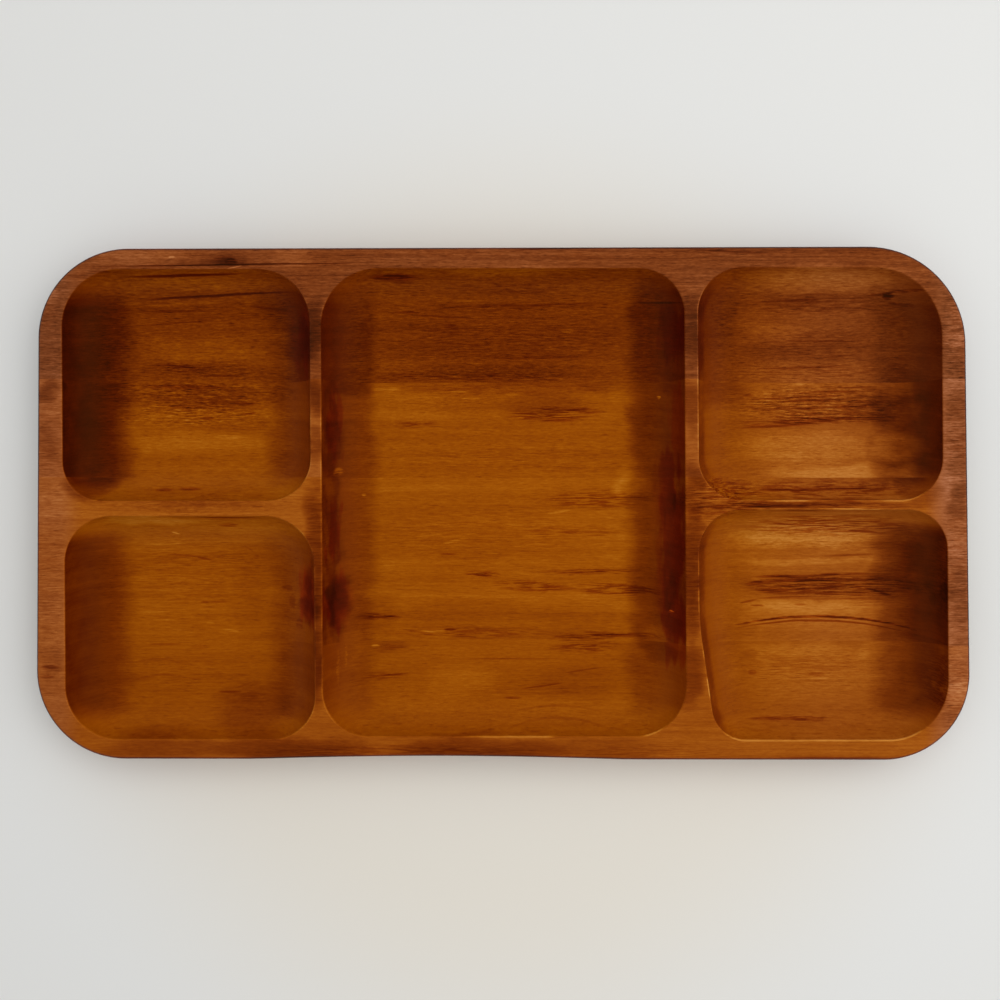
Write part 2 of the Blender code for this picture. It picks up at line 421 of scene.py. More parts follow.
# Where something sets in: from the first value, where there is none of it, to the second, where there
# is all of it. Two more values are what it is at these, where that isn't 0 and 1.
woodRanges = {
    "rimZ": (25.0, 25.9),
    "dividerZ": (25.2, 25.9),
    "wearAndSheenZ": (24.6, 25.9),
    "belowRimZ": (25.9, 25.0),
    "stainAndShadeFootZ": (7.0, 12.0),
    "stainAndShadeTopZ": (25.6, 24.8),
    "leftRimX": (-236.0, -242.0),
    "rightRimX": (236.0, 242.0),
    "leftWearAndSheenX": (-228.0, -242.0),
    "rightWearAndSheenX": (228.0, 242.0),
    "paintedSheenX": (110.0, 190.0),
    "flatZ": (0.3, 0.95),  # from here on, how far a face looks to the side or up
    "endX": (0.2, 0.7),
    "sidewaysY": (0.75, 0.3),
    "pores": (0.6, 0.72),  # from here on, a noise's value or a loss of tone
    "broken": (0.43, 0.58),
    "threads": (0.38, 0.6, 0.25, 1.3),
    "marked": (0.0, 0.2),
}

# The outer edge is painted dark with shade, and the sides below it less so. The pockets' edges get a
# painted highlight where they face right or back, and on both sides of the left divider, and the right
# pockets' left walls get painted shade just below. The ranges are given as those above.
edgeLook = {
    "halves": (254.0, 140.0),
    "squareness": 8.0,
    "outside": (0.8, 0.9),
    "line": 0.22,
    "lineAbove": (0.93, 0.72),
    "lineBelow": (0.1, 0.4, 0.45, 1.0),
    "paintedGlint": 0.14,
    "shineZ": (24.8, 25.0),
    "shineBelow": (0.1, 0.3),
    "shineAbove": (1.0, 0.97),
    "shineFacing": (0.0, 0.4),
    "shineX": (-150.0, 60.0, 0.15, 1.05),
    "shineClouds": (0.42, 0.54),
    "dividerX": -106.0,
    "dividerReach": (10.0, 6.0),
    "dividerShine": 0.56,
    "shade": 0.11,
    "shadeFootZ": (13.5, 17.0),
    "shadeTopZ": (25.4, 24.9),
    "shadeX": (100.0, 104.0),
    "shadeFacing": (0.4, 0.75),
    "shadeClouds": (0.75, 0.4),
}

# Where the end grain and its painted shade start to darken the floor, the end wall's foot, its knee and its
# top, as X
endWalls = {
    "leftPocketsLeft": (-206.0, -219.0, -223.0, -229.0),
    "leftPocketsRight": (-134.0, -122.0, -115.0, -107.0),
    "centreLeft": (-70.0, -77.0, -90.5, -94.0),
    "centreRight": (68.0, 76.0, 86.0, 97.0),
    "rightPocketsLeft": (142.0, 132.0, 116.0, 108.0),
    "rightPocketsRight": (205.0, 214.0, 222.0, 232.0),
}
kneeShare = 0.35  # of the change from the foot's loss to the top's
endReach = 260.0  # the losses' ramp runs from this far left to this far right

# The end losses are what each end wall loses in tone at its foot and its top, partly as darker end grain and
# partly as painted shade.
# Zones fade out softly and marks have a fairly sharp edge. Each one is its middle X and Y, half length,
# half width and loss of tone, and then, where it has them, its lean, its bend and its extra coarseness.
# Y is where the layer would meet the pockets' floor, so that on the rim it is 4.3 mm further back.
# Dividers are zones on the rim alone. Stains are red zones on the walls, partly painted shade, and say how
# red they are before the loss. Streaks are areas of fine broken threads, with a lean and no bend.
boards = {
    "backBoard": {
        "node": "back_board",
        "slot": "back_wood",
        "tone": 0.455,
        "coarse": 2.0,
        "seed": 11.0,
        "rimWearAndSheen": 0.6,
        "paintedSheenRight": 0.3,
        "rimLines": 0.22,
        "endWearAndSheen": (0.95, 0.95),
        "endGrainAndShadeLosses": ((0.17, 0.21), (0.07, 0.13), (0.10, 0.16), (0.12, 0.17), (0.02, 0.055), (0.08, 0.12)),
        "zones": (
            (-170, 129, 52, 6, -0.05),
            (-170, 122.5, 42, 4, -0.04),
            (-168, 111, 60, 10, 0.035),
            (-123, 110, 20, 14, 0.07),
            (-168, 86, 44, 8, -0.07),
            (-168, 74, 50, 7, 0.03, 0, 0, 2.0),
            (-112, 91, 12, 18, 0.08),
            (-222, 70, 14, 6, -0.035),
            (222, 71, 16, 9, 0.05),
            (-154, 70, 20, 5, -0.03),
            (5, 131, 48, 4, -0.05),
            (82, 122, 17, 9, 0.08),
            (0, 97, 92, 27, 0.025),
            (-52, 93, 22, 6, -0.03),
            (0, 74.5, 66, 6, 0.05, 0, 0, 1.2),
            (176, 126, 54, 10, -0.14),
            (119, 104, 20, 24, 0.06),
            (160, 100, 44, 14, -0.03),
            (153, 97, 20, 5, -0.05),
            (151, 85, 30, 5, 0.04),
            (175, 73, 54, 9, -0.085),
            (-247, 118, 9, 9, -0.08),
            (247, 101, 9, 20, -0.10),
            (-200, 140, 34, 10, -0.07),
            (-116, 139, 16, 9, -0.06),
            (-15, 139, 75, 9, -0.03),
            (-151, 136, 14, 6, 0.06),  # round the knot
            (-160, 134, 26, 3.5, 0.04),
        ),
        "dividers": (
            (-102, 98, 8, 20, 0.16),
            (102, 100, 9, 24, 0.14),
        ),
        "stainsAndShade": (
            (92, 96, 8, 20, 1.0, 0.05),
            (-111, 92, 9, 20, 0.8, 0.0),
        ),
        "streaks": (
            (-10, 70.5, 72, 3.4, 0.11, 0),
            (-60, 71, 16, 3, 0.082, 0),
            (0, 121, 40, 5, 0.082, 0),
            (10, 110.5, 66, 3.5, 0.06, 1),
            (0, 92, 92, 20, 0.068, 1),
            (-62, 126, 18, 3, 0.082, 0),
            (-182, 76, 22, 3, 0.122, -1),
            (-160, 104, 46, 4, 0.054, 2),
            (178, 112, 48, 7, 0.082, 1.5),
            (247, 96, 13, 34, 0.068, 0),
            (-247, 96, 13, 34, 0.048, 0),
            (178, 90, 52, 11, 0.065, 1),
            (178, 74, 52, 7, 0.075, 1),
            (30, 141, 220, 7, 0.054, 0),
        ),
        "marks": (
            (-148.3, 135.2, 4, 2.4, 0.22),  # the knot
            (-151.5, 136.6, 8, 3.0, 0.10),
            (-146, 134, 76, 0.6, 0.24, 0.8),
            (-205, 133, 30, 0.5, 0.08),
            (-146.5, 132.6, 5, 0.5, -0.16, 1),
            (-220, 130, 7, 0.5, 0.10),
            (-180.5, 138.3, 2.2, 0.9, -0.12),
            (27, 142.5, 29, 0.9, 0.10, 1.6),
            (120, 141.5, 28, 1, 0.09, -1.9),
            (-175, 128.3, 37, 0.99, 0.21, 1),
            (-161, 116.6, 50, 0.99, 0.18, 2.4, -0.3),
            (-176, 112.3, 35, 1.4, -0.05, 2.2),
            (-184, 108, 24, 0.8, 0.06),
            (-131, 109, 13, 0.8, 0.07, -1.4),
            (-190, 101, 26, 0.7, 0.06, 2.2),
            (-183, 77, 14, 0.9, 0.08, -1.5),
            (-160, 72, 16, 0.8, 0.08),
            (-60, 127, 16, 2.6, 0.14),
            (-56, 124, 8, 0.7, 0.07),
            (86, 113, 14, 0.8, 0.10),
            (-18, 113.6, 18, 0.8, -0.05),
            (0, 110.7, 40, 0.8, 0.04, 0.8),
            (32, 111.8, 24, 0.7, 0.06, 0.8),
            (-54, 107.4, 9, 1, 0.11),
            (-36, 105, 22, 0.8, 0.06, -1.2),
            (-31, 100.2, 5, 1.6, 0.05),
            (36, 96.8, 4.5, 1.6, -0.09),
            (20, 82, 34, 0.9, 0.05, 0.8),
            (160, 114, 28, 0.9, 0.07, 1.4),
            (172, 117.5, 12, 0.8, 0.06, 1),
            (177, 91.5, 26, 0.8, 0.06, -0.5),
            (189, 83, 13, 0.7, 0.07, 0.8),
            (168, 76.8, 32, 0.8, 0.08, 0.9),
            (214.5, 116.7, 3.4, 2.6, 0.20),
            (209, 117.5, 7, 1.0, 0.11, 0.5),
            (222, 119.5, 9, 1.4, 0.10, 0.8),
            (222, 112, 8, 1.4, 0.10, -1.2),
        ),
    },
    "upperMiddleBoard": {
        "node": "upper_middle_board",
        "slot": "streaked_wood",
        "tone": 0.56,
        "coarse": 1.2,
        "seed": 37.0,
        "rimWearAndSheen": 0.25,
        "paintedSheenRight": 0.17,
        "rimLines": 0.05,
        "endWearAndSheen": (0.6, 0.95),
        "endGrainAndShadeLosses": ((0.235, 0.31), (0.115, 0.125), (0.11, 0.27), (0.16, 0.22), (0.02, 0.05), (0.12, 0.27)),
        "zones": (
            (-172, 63, 66, 14, 0.115, 0, 0, 3.9),
            (-172, 49, 60, 8, 0.02, 0, 0, 3.6),
            (-175, 33, 52, 9, -0.045),
            (0, 59, 84, 11, 0.04, 0, 0, 0.6),
            (24, 55, 30, 8, 0.05),
            (24, 67, 52, 3, 0.05),
            (-50, 61, 26, 6, -0.03),
            (174, 56, 56, 14, -0.01, 0, 0, 4.2),
            (207, 53, 18, 12, 0.10),
            (224, 66, 14, 7, -0.05),
            (172, 31, 54, 12, -0.08, 0, 0, 0.5),
            (220, 32, 17, 11, -0.12),
            (188, 17, 48, 6, -0.13),
            (228, 17, 12, 7, -0.07),
            (60, 66, 26, 6, 0.065),
            (-83, 66, 12, 8, 0.08),
            (-48, 66, 18, 5, 0.035),
            (120, 64, 20, 12, 0.10),
            (72, 17, 11, 8, -0.06),
            (-247, 65, 9, 8, 0.16),
            (-247, 38, 9, 14, 0.07),
            (247, 60, 9, 12, 0.09),
            (247, 41, 9, 8, 0.04),
            (247, 25, 9, 9, 0.08),
        ),
        "dividers": (
            (-102, 61, 9, 14, 0.20),
            (-102, 37, 8, 12, 0.10),
            (102, 56, 8, 18, 0.12),
            (102, 16, 8, 12, 0.14),
        ),
        "stainsAndShade": (
            (-111, 92, 9, 20, 0.8, 0.0),
            (-94, 46, 4, 26, 0.8, 0.03),
            (90, 17, 8, 18, 1.0, 0.06),
            (96, 48, 5, 26, 0.7, 0.0),
        ),
        "streaks": (
            (-168, 57, 52, 11, 0.056, 0),
            (-150, 42, 30, 5, 0.034, 0),
            (28, 50, 34, 5, 0.17, 1),
            (-54, 44, 20, 2.2, 0.122, 1),
            (0, 64.5, 80, 4, 0.068, 0),
            (10, 26, 84, 14, 0.041, 0),
            (182, 57, 60, 11, 0.085, 3),
            (176, 46.8, 58, 3.8, 0.13, 2.2),
            (205, 50, 16, 9, 0.03, 1),
            (248, 42, 13, 30, 0.082, 0),
            (-248, 42, 13, 30, 0.054, 0),
        ),
        "marks": (
            (-180, 65.5, 30, 1.8, 0.09),
            (-146, 56.2, 8, 1.1, 0.08, -0.4),
            (-166.5, 47.8, 5, 1.4, 0.08),
            (-143, 50.5, 5, 0.8, 0.10, 0.8),
            (-154, 37.5, 11, 2.6, -0.05),
            (31, 46.8, 13, 1.6, 0.09),
            (36, 52, 15, 0.9, 0.06, 1),
            (-66, 64, 10, 1.4, -0.05),
            (-24, 62.5, 8, 0.8, -0.08),
            (-18, 58.6, 7, 0.9, -0.08),
            (5, 61, 5, 1, -0.08),
            (86.6, 60, 1.3, 1.2, -0.2),
            (-92, 18.8, 3, 3.2, -0.12),
            (138, 61, 4, 1.2, 0.08),
            (172, 57.7, 24, 0.8, 0.12, 0.9),
            (198, 65, 15, 0.7, 0.10, 0.6),
            (158, 44.3, 34, 2.0, 0.08, 2.4),
            (152, 43.2, 20, 0.9, 0.06, 1),
            (172, 46.8, 20, 1.4, 0.07, 0.6),
            (190, 47.6, 28, 0.8, 0.07, 0.3),
            (170, 50, 12, 1.0, 0.06, 0.6),
            (180, 53.5, 36, 0.8, 0.09, 1.5),
            (166, 59.5, 34, 0.8, 0.09, 1.3),
            (184, 62.5, 32, 0.7, 0.08, 1.0),
            (212, 48, 10, 3, 0.03),
            (168, 67, 8, 0.8, -0.08),
        ),
    },
    "lowerMiddleBoard": {
        "node": "lower_middle_board",
        "slot": "golden_wood",
        "tone": 0.58,
        "coarse": 1.0,
        "seed": 71.0,
        "rimWearAndSheen": 0.10,
        "paintedSheenRight": 0.13,
        "rimLines": 0.08,
        "endWearAndSheen": (0.4, 0.95),
        "endGrainAndShadeLosses": ((0.16, 0.22), (0.085, 0.10), (0.10, 0.27), (0.15, 0.235), (0.03, 0.08), (0.15, 0.29)),
        "zones": (
            (-226, 12, 16, 10, 0.17),
            (-168, 9, 56, 9, 0.025),
            (206, 11, 13, 5, 0.06),
            (-90, -76, 12, 8, -0.06),
            (90, -75, 13, 8, -0.09),
            (72, 10, 12, 8, -0.09),
            (226, 12, 12, 11, 0.10),
            (-192, -7, 34, 5, -0.10),
            (-145, -12, 34, 7, -0.03),
            (-135, -55, 22, 45, 0.045),
            (0, -66, 88, 14, 0.05),
            (-72, -62, 16, 16, 0.04),
            (42, -75, 28, 5, 0.04),
            (168, -18, 54, 9, -0.12, 0, 0, 1.6),
            (172, -8, 52, 7, -0.07),
            (176, -62, 60, 12, -0.03),
            (172, -32.5, 54, 2.8, -0.07),
            (178, -46, 62, 8.5, 0.055, 0, 0, 1.2),
            (178, -58.5, 48, 5, -0.065),
            (-247, -50, 9, 24, 0.01),
            (247, 13, 9, 8, 0.13),
            (247, 2, 9, 8, 0.10),
            (247, -19, 9, 9, -0.05),
            (249, -73, 8, 5, 0.06),
            (247, -48, 9, 22, 0.09),
            (-108, -50, 7, 20, 0.14),
            (-91, -53, 7, 15, 0.13),
            (168, 3.2, 66, 3.5, 0.11),
            (-168, 3.2, 66, 4.5, 0.02, 0, 0, 1.3),
            (104, 4, 14, 6, 0.06),
            (120, 7, 30, 16, 0, 0, 0, 2.2),
        ),
        "dividers": (
            (-102, -32, 9, 60, 0.16),
            (-104, -48, 8, 18, 0.05),
            (-102, -72, 8, 8, 0.13),
            (102, 16, 8, 12, 0.14),
            (102, -35, 8, 48, 0.17),
        ),
        "stainsAndShade": (
            (-108, -50, 8, 22, 1.1, 0.0),
            (-91, -53, 9, 17, 1.1, 0.02),
            (-94, -14, 4, 22, 0.8, 0.03),
            (90, 10, 7, 20, 1.0, 0.06),
            (93, -22, 8, 40, 1.1, 0.05),
            (95, -62, 7, 18, 1.0, 0.06),
            (84, -4, 9, 14, 0.8, 0.04),
            (88, -48, 10, 16, 0.9, 0.05),
        ),
        "streaks": (
            (-12, -40, 12, 2.2, 0.17, -0.5),
            (16, -46.5, 26, 4.0, 0.17, -1.5),
            (50, -38.5, 36, 2.2, 0.13, 0),
            (62, -48.5, 30, 4.4, 0.17, -1),
            (-70, -64, 15, 2.4, 0.13, 0.3),
            (46, -75, 24, 3.6, 0.14, 1),
            (72, -74, 26, 2.0, 0.11, 0),
            (-20, -73, 60, 4.5, 0.095, 0),
            (52, 2, 36, 7, 0.136, 0),
            (40, -16, 34, 4, 0.068, 0),
            (-10, -18, 80, 26, 0.041, 0),
            (180, 10, 56, 5.5, 0.15, 0.5),
            (120, 6, 28, 14, 0.13, 0),
            (172, 3.2, 66, 4, 0.122, 0),
            (182, -11, 58, 9, 0.15, -1),
            (188, -46.5, 64, 8.5, 0.10, 1),
            (170, -46, 40, 6.5, 0.07, 0.5),
            (206, -52, 18, 12, 0.068, -1),
            (-178, -38, 56, 28, 0.048, 0),
            (-170, 6, 60, 6, 0.034, 0),
            (248, -30, 13, 52, 0.082, 0),
            (-248, -30, 13, 52, 0.048, 0),
            (104, -30, 10, 50, 0.06, 0),
            (-102, -20, 8, 50, 0.068, 0),
        ),
        "marks": (
            (-188, 9, 6, 1, 0.10),
            (-174, 9.3, 8, 1, 0.10),
            (172, 9.6, 38, 0.9, 0.12, 1),
            (137, 2.2, 12, 0.8, 0.14),
            (150, 2.6, 24, 0.8, 0.08),
            (180, 5.4, 22, 0.8, 0.07),
            (161, -0.1, 16, 0.6, 0.10),
            (176, 1, 44, 0.7, -0.12),
            (178, -2.4, 46, 0.7, -0.06),
            (163, -10.5, 15, 0.8, 0.10, -1),
            (201, -15, 10, 0.9, 0.16, -0.6),
            (187, -12, 14, 0.6, 0.06, -1),
            (195, -29, 18, 0.8, 0.08, 0.6),
            (160, -31, 14, 0.8, 0.04),
            (155, -41.3, 16, 1.2, 0.12),
            (168, -43.2, 30, 1.3, 0.12, 0.9),
            (184, -39.8, 7, 0.9, 0.12),
            (198, -39.2, 9, 0.6, 0.08),
            (141, -45, 6, 1.6, 0.12, 0.8),
            (152, -49, 12, 1.7, 0.12),
            (171, -48.4, 20, 1.2, 0.08, 0.7),
            (158, -53, 18, 0.8, 0.10, 0.3),
            (211, -50, 10, 0.8, 0.10, -3),
            (138, -55, 6, 0.8, 0.10, 1.4),
            (190, -51.5, 18, 0.6, 0.06),
            (143, -57.4, 4.5, 0.6, 0.12),
            (167, -57, 4.5, 0.6, 0.09),
            (180, -63.6, 60, 1.0, 0.24, -1.2, -7.9),
            (178, -65.8, 54, 0.8, 0.15, -1.2, -6.6),
            (178, -40.4, 44, 0.7, 0.09, 1),
            (180, -43.6, 44, 0.7, 0.09, 1),
            (178, -46.4, 42, 0.7, 0.08, 0.8),
            (175, -50.6, 40, 0.7, 0.08, 0.6),
            (180, -54, 36, 0.6, 0.06),
            (175, -5, 44, 0.6, 0.06, 0.5),
            (180, -8, 40, 0.6, 0.06, -0.5),
            (172, -14, 40, 0.6, 0.05, 0.4),
            (33, -4.5, 11, 0.8, -0.06, 1.5),
            (-26, -21, 10, 1, -0.06, 2.5),
            (-42, -18.2, 9, 0.7, -0.05, 0.8),
            (-31, -29, 6, 0.8, 0.08),
            (-12, -40.5, 7, 1.2, 0.12, -0.6),
            (46, -38.7, 20, 0.7, 0.06),
            (66, -50.6, 13, 0.6, 0.07),
            (-69, -64.4, 12, 1, 0.09, 0.9),
            (-30, -71, 4, 0.9, 0.10),
            (-40, -72, 11, 0.9, -0.09),
            (66, -73.7, 13, 0.6, 0.09),
            (93, -58.3, 1.4, 1.2, -0.25),
            (-78.5, 4.5, 1.3, 1.1, -0.20),
            (-152.5, -10.2, 7, 2.0, 0.09),
            (-150, -4.2, 22, 0.8, 0.14, -0.6),
            (-183, -15.8, 2.8, 0.8, -0.14, -0.9),
            (-190, -22.8, 16, 0.8, -0.05),
            (-176, -30, 16, 0.7, 0.05, -1.6),
            (-168, -31.5, 5, 0.8, 0.07, -1),
            (-143, -26, 3.5, 0.8, 0.04, -2.5),
            (-139, -30.5, 2, 1.5, 0.04),
            (-168, -56, 3, 0.9, 0.06),
            (-161, -55.9, 9, 0.6, 0.05),
            (-199, -61.5, 15, 0.8, -0.04, 0.4),
            (-191, -66, 9, 0.7, -0.04),
            (-184.5, -71, 9, 0.8, -0.04, -2),
            (-177, -64.3, 6, 0.8, -0.03),
            (-165, -67.5, 3, 0.8, -0.05),
            (-153.5, -71.7, 6, 0.9, -0.05, -0.8),
            (-121.5, -47.5, 4, 2.4, 0.07),
            (-118.5, -55, 2.6, 5, 0.06),
            (-114, -67, 2.6, 4.5, 0.06),
        ),
    },
    "frontBoard": {
        "node": "front_board",
        "slot": "front_wood",
        "tone": 0.56,
        "coarse": 0.9,
        "seed": 93.0,
        "rimWearAndSheen": 0.08,
        "paintedSheenRight": 0.10,
        "rimLines": 0.07,
        "endWearAndSheen": (0.4, 0.6),
        "endGrainAndShadeLosses": ((0.13, 0.20), (0.10, 0.12), (0.06, 0.10), (0.085, 0.10), (0.03, 0.04), (0.09, 0.21)),
        "zones": (
            (-140, -112, 28, 16, 0.10),
            (-24, -100, 28, 12, -0.05),
            (42, -100, 32, 14, 0.04),
            (172, -94, 58, 22, -0.05, 0, 0, 0.6),
            (164, -82, 40, 6, -0.04),
            (208, -81, 12, 8, -0.06),
            (137, -86, 8, 4.5, 0.05),
            (-64, -81, 12, 5, 0.06),
            (86, -82, 12, 8, 0.08),
            (-92, -82, 10, 8, 0.03),
            (-185, -130, 45, 9, 0.09),
            (-114, -130, 52, 9, 0.165),
            (-12, -130, 60, 9, 0.15),
            (55, -130, 45, 9, 0.05),
            (-247, -81, 9, 9, 0.06),
            (-246, -93, 10, 9, 0.035),
            (247, -78, 9, 6, -0.05),
            (247, -100, 9, 9, -0.11),
        ),
        "dividers": (
            (-102, -86, 9, 27, 0.22),
            (102, -88, 9, 25, 0.13),
        ),
        "stainsAndShade": (
            (94, -78, 6, 14, 0.7, 0.04),
        ),
        "streaks": (
            (46, -81, 24, 4.4, 0.14, 1),
            (-64, -82, 16, 3, 0.068, 0),
            (-67, -97, 16, 3, 0.095, 1),
            (10, -104, 50, 8, 0.034, 1),
            (170, -92, 48, 12, 0.054, 0),
            (162, -119, 32, 2, 0.109, 0),
            (-60, -131, 100, 5, 0.082, 0),
            (80, -131, 60, 5, 0.054, 0),
            (-180, -96, 50, 14, 0.034, 0),
            (244, -98, 14, 24, 0.068, 0),
        ),
        "marks": (
            (4, -87.2, 30, 0.6, 0.06),
            (-65, -96.8, 14, 0.7, 0.08, 1.4),
            (44.5, -93.6, 14, 0.6, 0.07, 2),
            (22, -102.6, 14, 0.7, 0.09, 2.2),
            (5, -109.2, 6, 0.8, 0.08),
            (-171, -81, 6, 2, 0.04),
            (-191, -79.4, 11, 0.8, 0.06),
            (-154.3, -106.4, 8, 0.8, 0.10),
            (-146, -102.6, 6, 0.9, 0.04, 2),
            (-143, -109, 6, 3, 0.04),
            (176, -96.5, 5, 1.4, 0.06),
            (176, -99, 32, 0.7, -0.05, 0.8),
            (140, -95.5, 3, 2, 0.07),
            (158, -119.2, 26, 0.9, 0.09),
            (-72, -80.5, 3, 1.2, -0.12),
            (30, -113, 30, 0.7, 0.04, 0, -4),
            (30, -118, 34, 0.7, 0.04, 0, -5),
            (-246.5, -84.5, 6, 1.6, 0.10),
            (-248, -90, 5, 1.2, 0.08),
            (180, -134, 38, 0.7, 0.10),
            (-92, -90, 0.8, 12, -0.05),
            (-88, -84, 0.7, 8, -0.05),
            (-195, -88, 20, 0.7, 0.03, 0, -5),
            (-190, -97, 26, 0.7, 0.03, 0, -6),
        ),
    },
}


def stretched(wire, vector, lengths, detail, roughness=0.5, distortion=0.0):
    values = {"Scale": 1.0, "Detail": detail, "Roughness": roughness, "Distortion": distortion}
    values["Vector"] = wire.vector("DIVIDE", vector, lengths)
    return wire.add("ShaderNodeTexNoise", {"noise_dimensions": "3D"}, values)


def displaced(wire, surface, noise, spread):
    # The same surface with its places moved by up to half of spread each way
    moves = wire.vector("MULTIPLY_ADD", noise, spread, tuple(-value / 2 for value in spread))
    return wire.vector("ADD", surface, moves)


def spot(wire, surface, place, most, lean=0.0, bend=0.0, edge=0.0):
    # As much as most inside an ellipse that may lean and bend, fading to 0 at its edge.
    # surface is (x, y, 1), so one dot product with it moves, leans and scales.
    middleX, middleY, length, width = place
    if lean or bend:
        moved = (lean * middleX / length - middleY) / width
        along = wire.dot(surface, (1 / length, 0.0, -middleX / length))
        across = wire.dot(surface, (-lean / length / width, 1 / width, moved))
        square = along * along
        if bend:
            across = across - bend / width * square
        fromMiddle = square + across * across
    else:
        moved = (-middleX / length, -middleY / width, 0.0)
        inEllipse = wire.vector("MULTIPLY_ADD", surface, (1 / length, 1 / width, 0.0), moved)
        fromMiddle = wire.dot(inEllipse, inEllipse)
    return fromMiddle.between(1.0, edge, 0.0, most)


def filledOut(item):
    # With a lean, a bend and an extra coarseness of 0 where it has none
    return (*item, 0.0, 0.0, 0.0)[:8]


def toneStops(colours):
    stops = []
    for colour in colours:
        stops.append((colour[0] / 255, tuple(value / woodLook["lightLevel"] for value in linear(colour))))
    return stops


# Painted shade along the outer edge and just below the right pockets' left edges, and a painted highlight
# along the pockets' edges
def paintedEdgeShadeAndGlint(wire, x, y, z, facing, clouds):
    look = edgeLook
    facingX, facingY, facingZ = facing
    halfX, halfY = look["halves"]
    outline = (abs(x) / halfX) ** look["squareness"] + (abs(y) / halfY) ** look["squareness"]
    outside = outline.between(*look["outside"])
    # The outer edge's rounding and the sides below it, painted dark as shade
    aslant = facingZ.between(*look["lineAbove"]) * facingZ.between(*look["lineBelow"])
    line = look["line"] * aslant * outside

    # A painted highlight along the eased edges of the pockets
    inside = z.between(*look["shineZ"]) * facingZ.between(*look["shineBelow"])
    inside = inside * facingZ.between(*look["shineAbove"]) * (1.0 - outside)
    nearDivider = abs(x - look["dividerX"]).between(*look["dividerReach"])
    divider = abs(facingX).between(*look["shineFacing"]) * nearDivider
    light = (facingX + facingY).between(*look["shineFacing"]) * x.between(*look["shineX"])
    light = wire.maths("MAXIMUM", light, look["dividerShine"] * divider)
    paintedGlint = look["paintedGlint"] * inside * light * clouds.between(*look["shineClouds"])

    # Painted shade on the right pockets' left walls, just below the edge
    below = z.between(*look["shadeFootZ"]) * z.between(*look["shadeTopZ"]) * x.between(*look["shadeX"])
    patchy = facingX.between(*look["shadeFacing"]) * clouds.between(*look["shadeClouds"])
    return paintedGlint - line - look["shade"] * below * patchy


def endGrainAndShadeLoss(wire, board, x, smudges):
    # The ends of the grain drink more oil and turn dark, and painted shade darkens the end walls and the
    # floor at their feet too
    stops = []
    for (start, foot, knee, top), (footLoss, topLoss) in zip(endWalls.values(), board["endGrainAndShadeLosses"]):
        kneeLoss = footLoss + kneeShare * (topLoss - footLoss)
        for position, loss in ((start, 0.0), (foot, footLoss), (knee, kneeLoss), (top, topLoss)):
            stops.append(((position + endReach) / (2 * endReach), (loss, loss, loss)))
    ragged = x + woodLook["endRagged"] * (smudges - 0.5)
    share = (ragged + endReach) / (2 * endReach)
    return wire.add("ShaderNodeValToRGB", {"stops": sorted(stops)}, {"Fac": share})


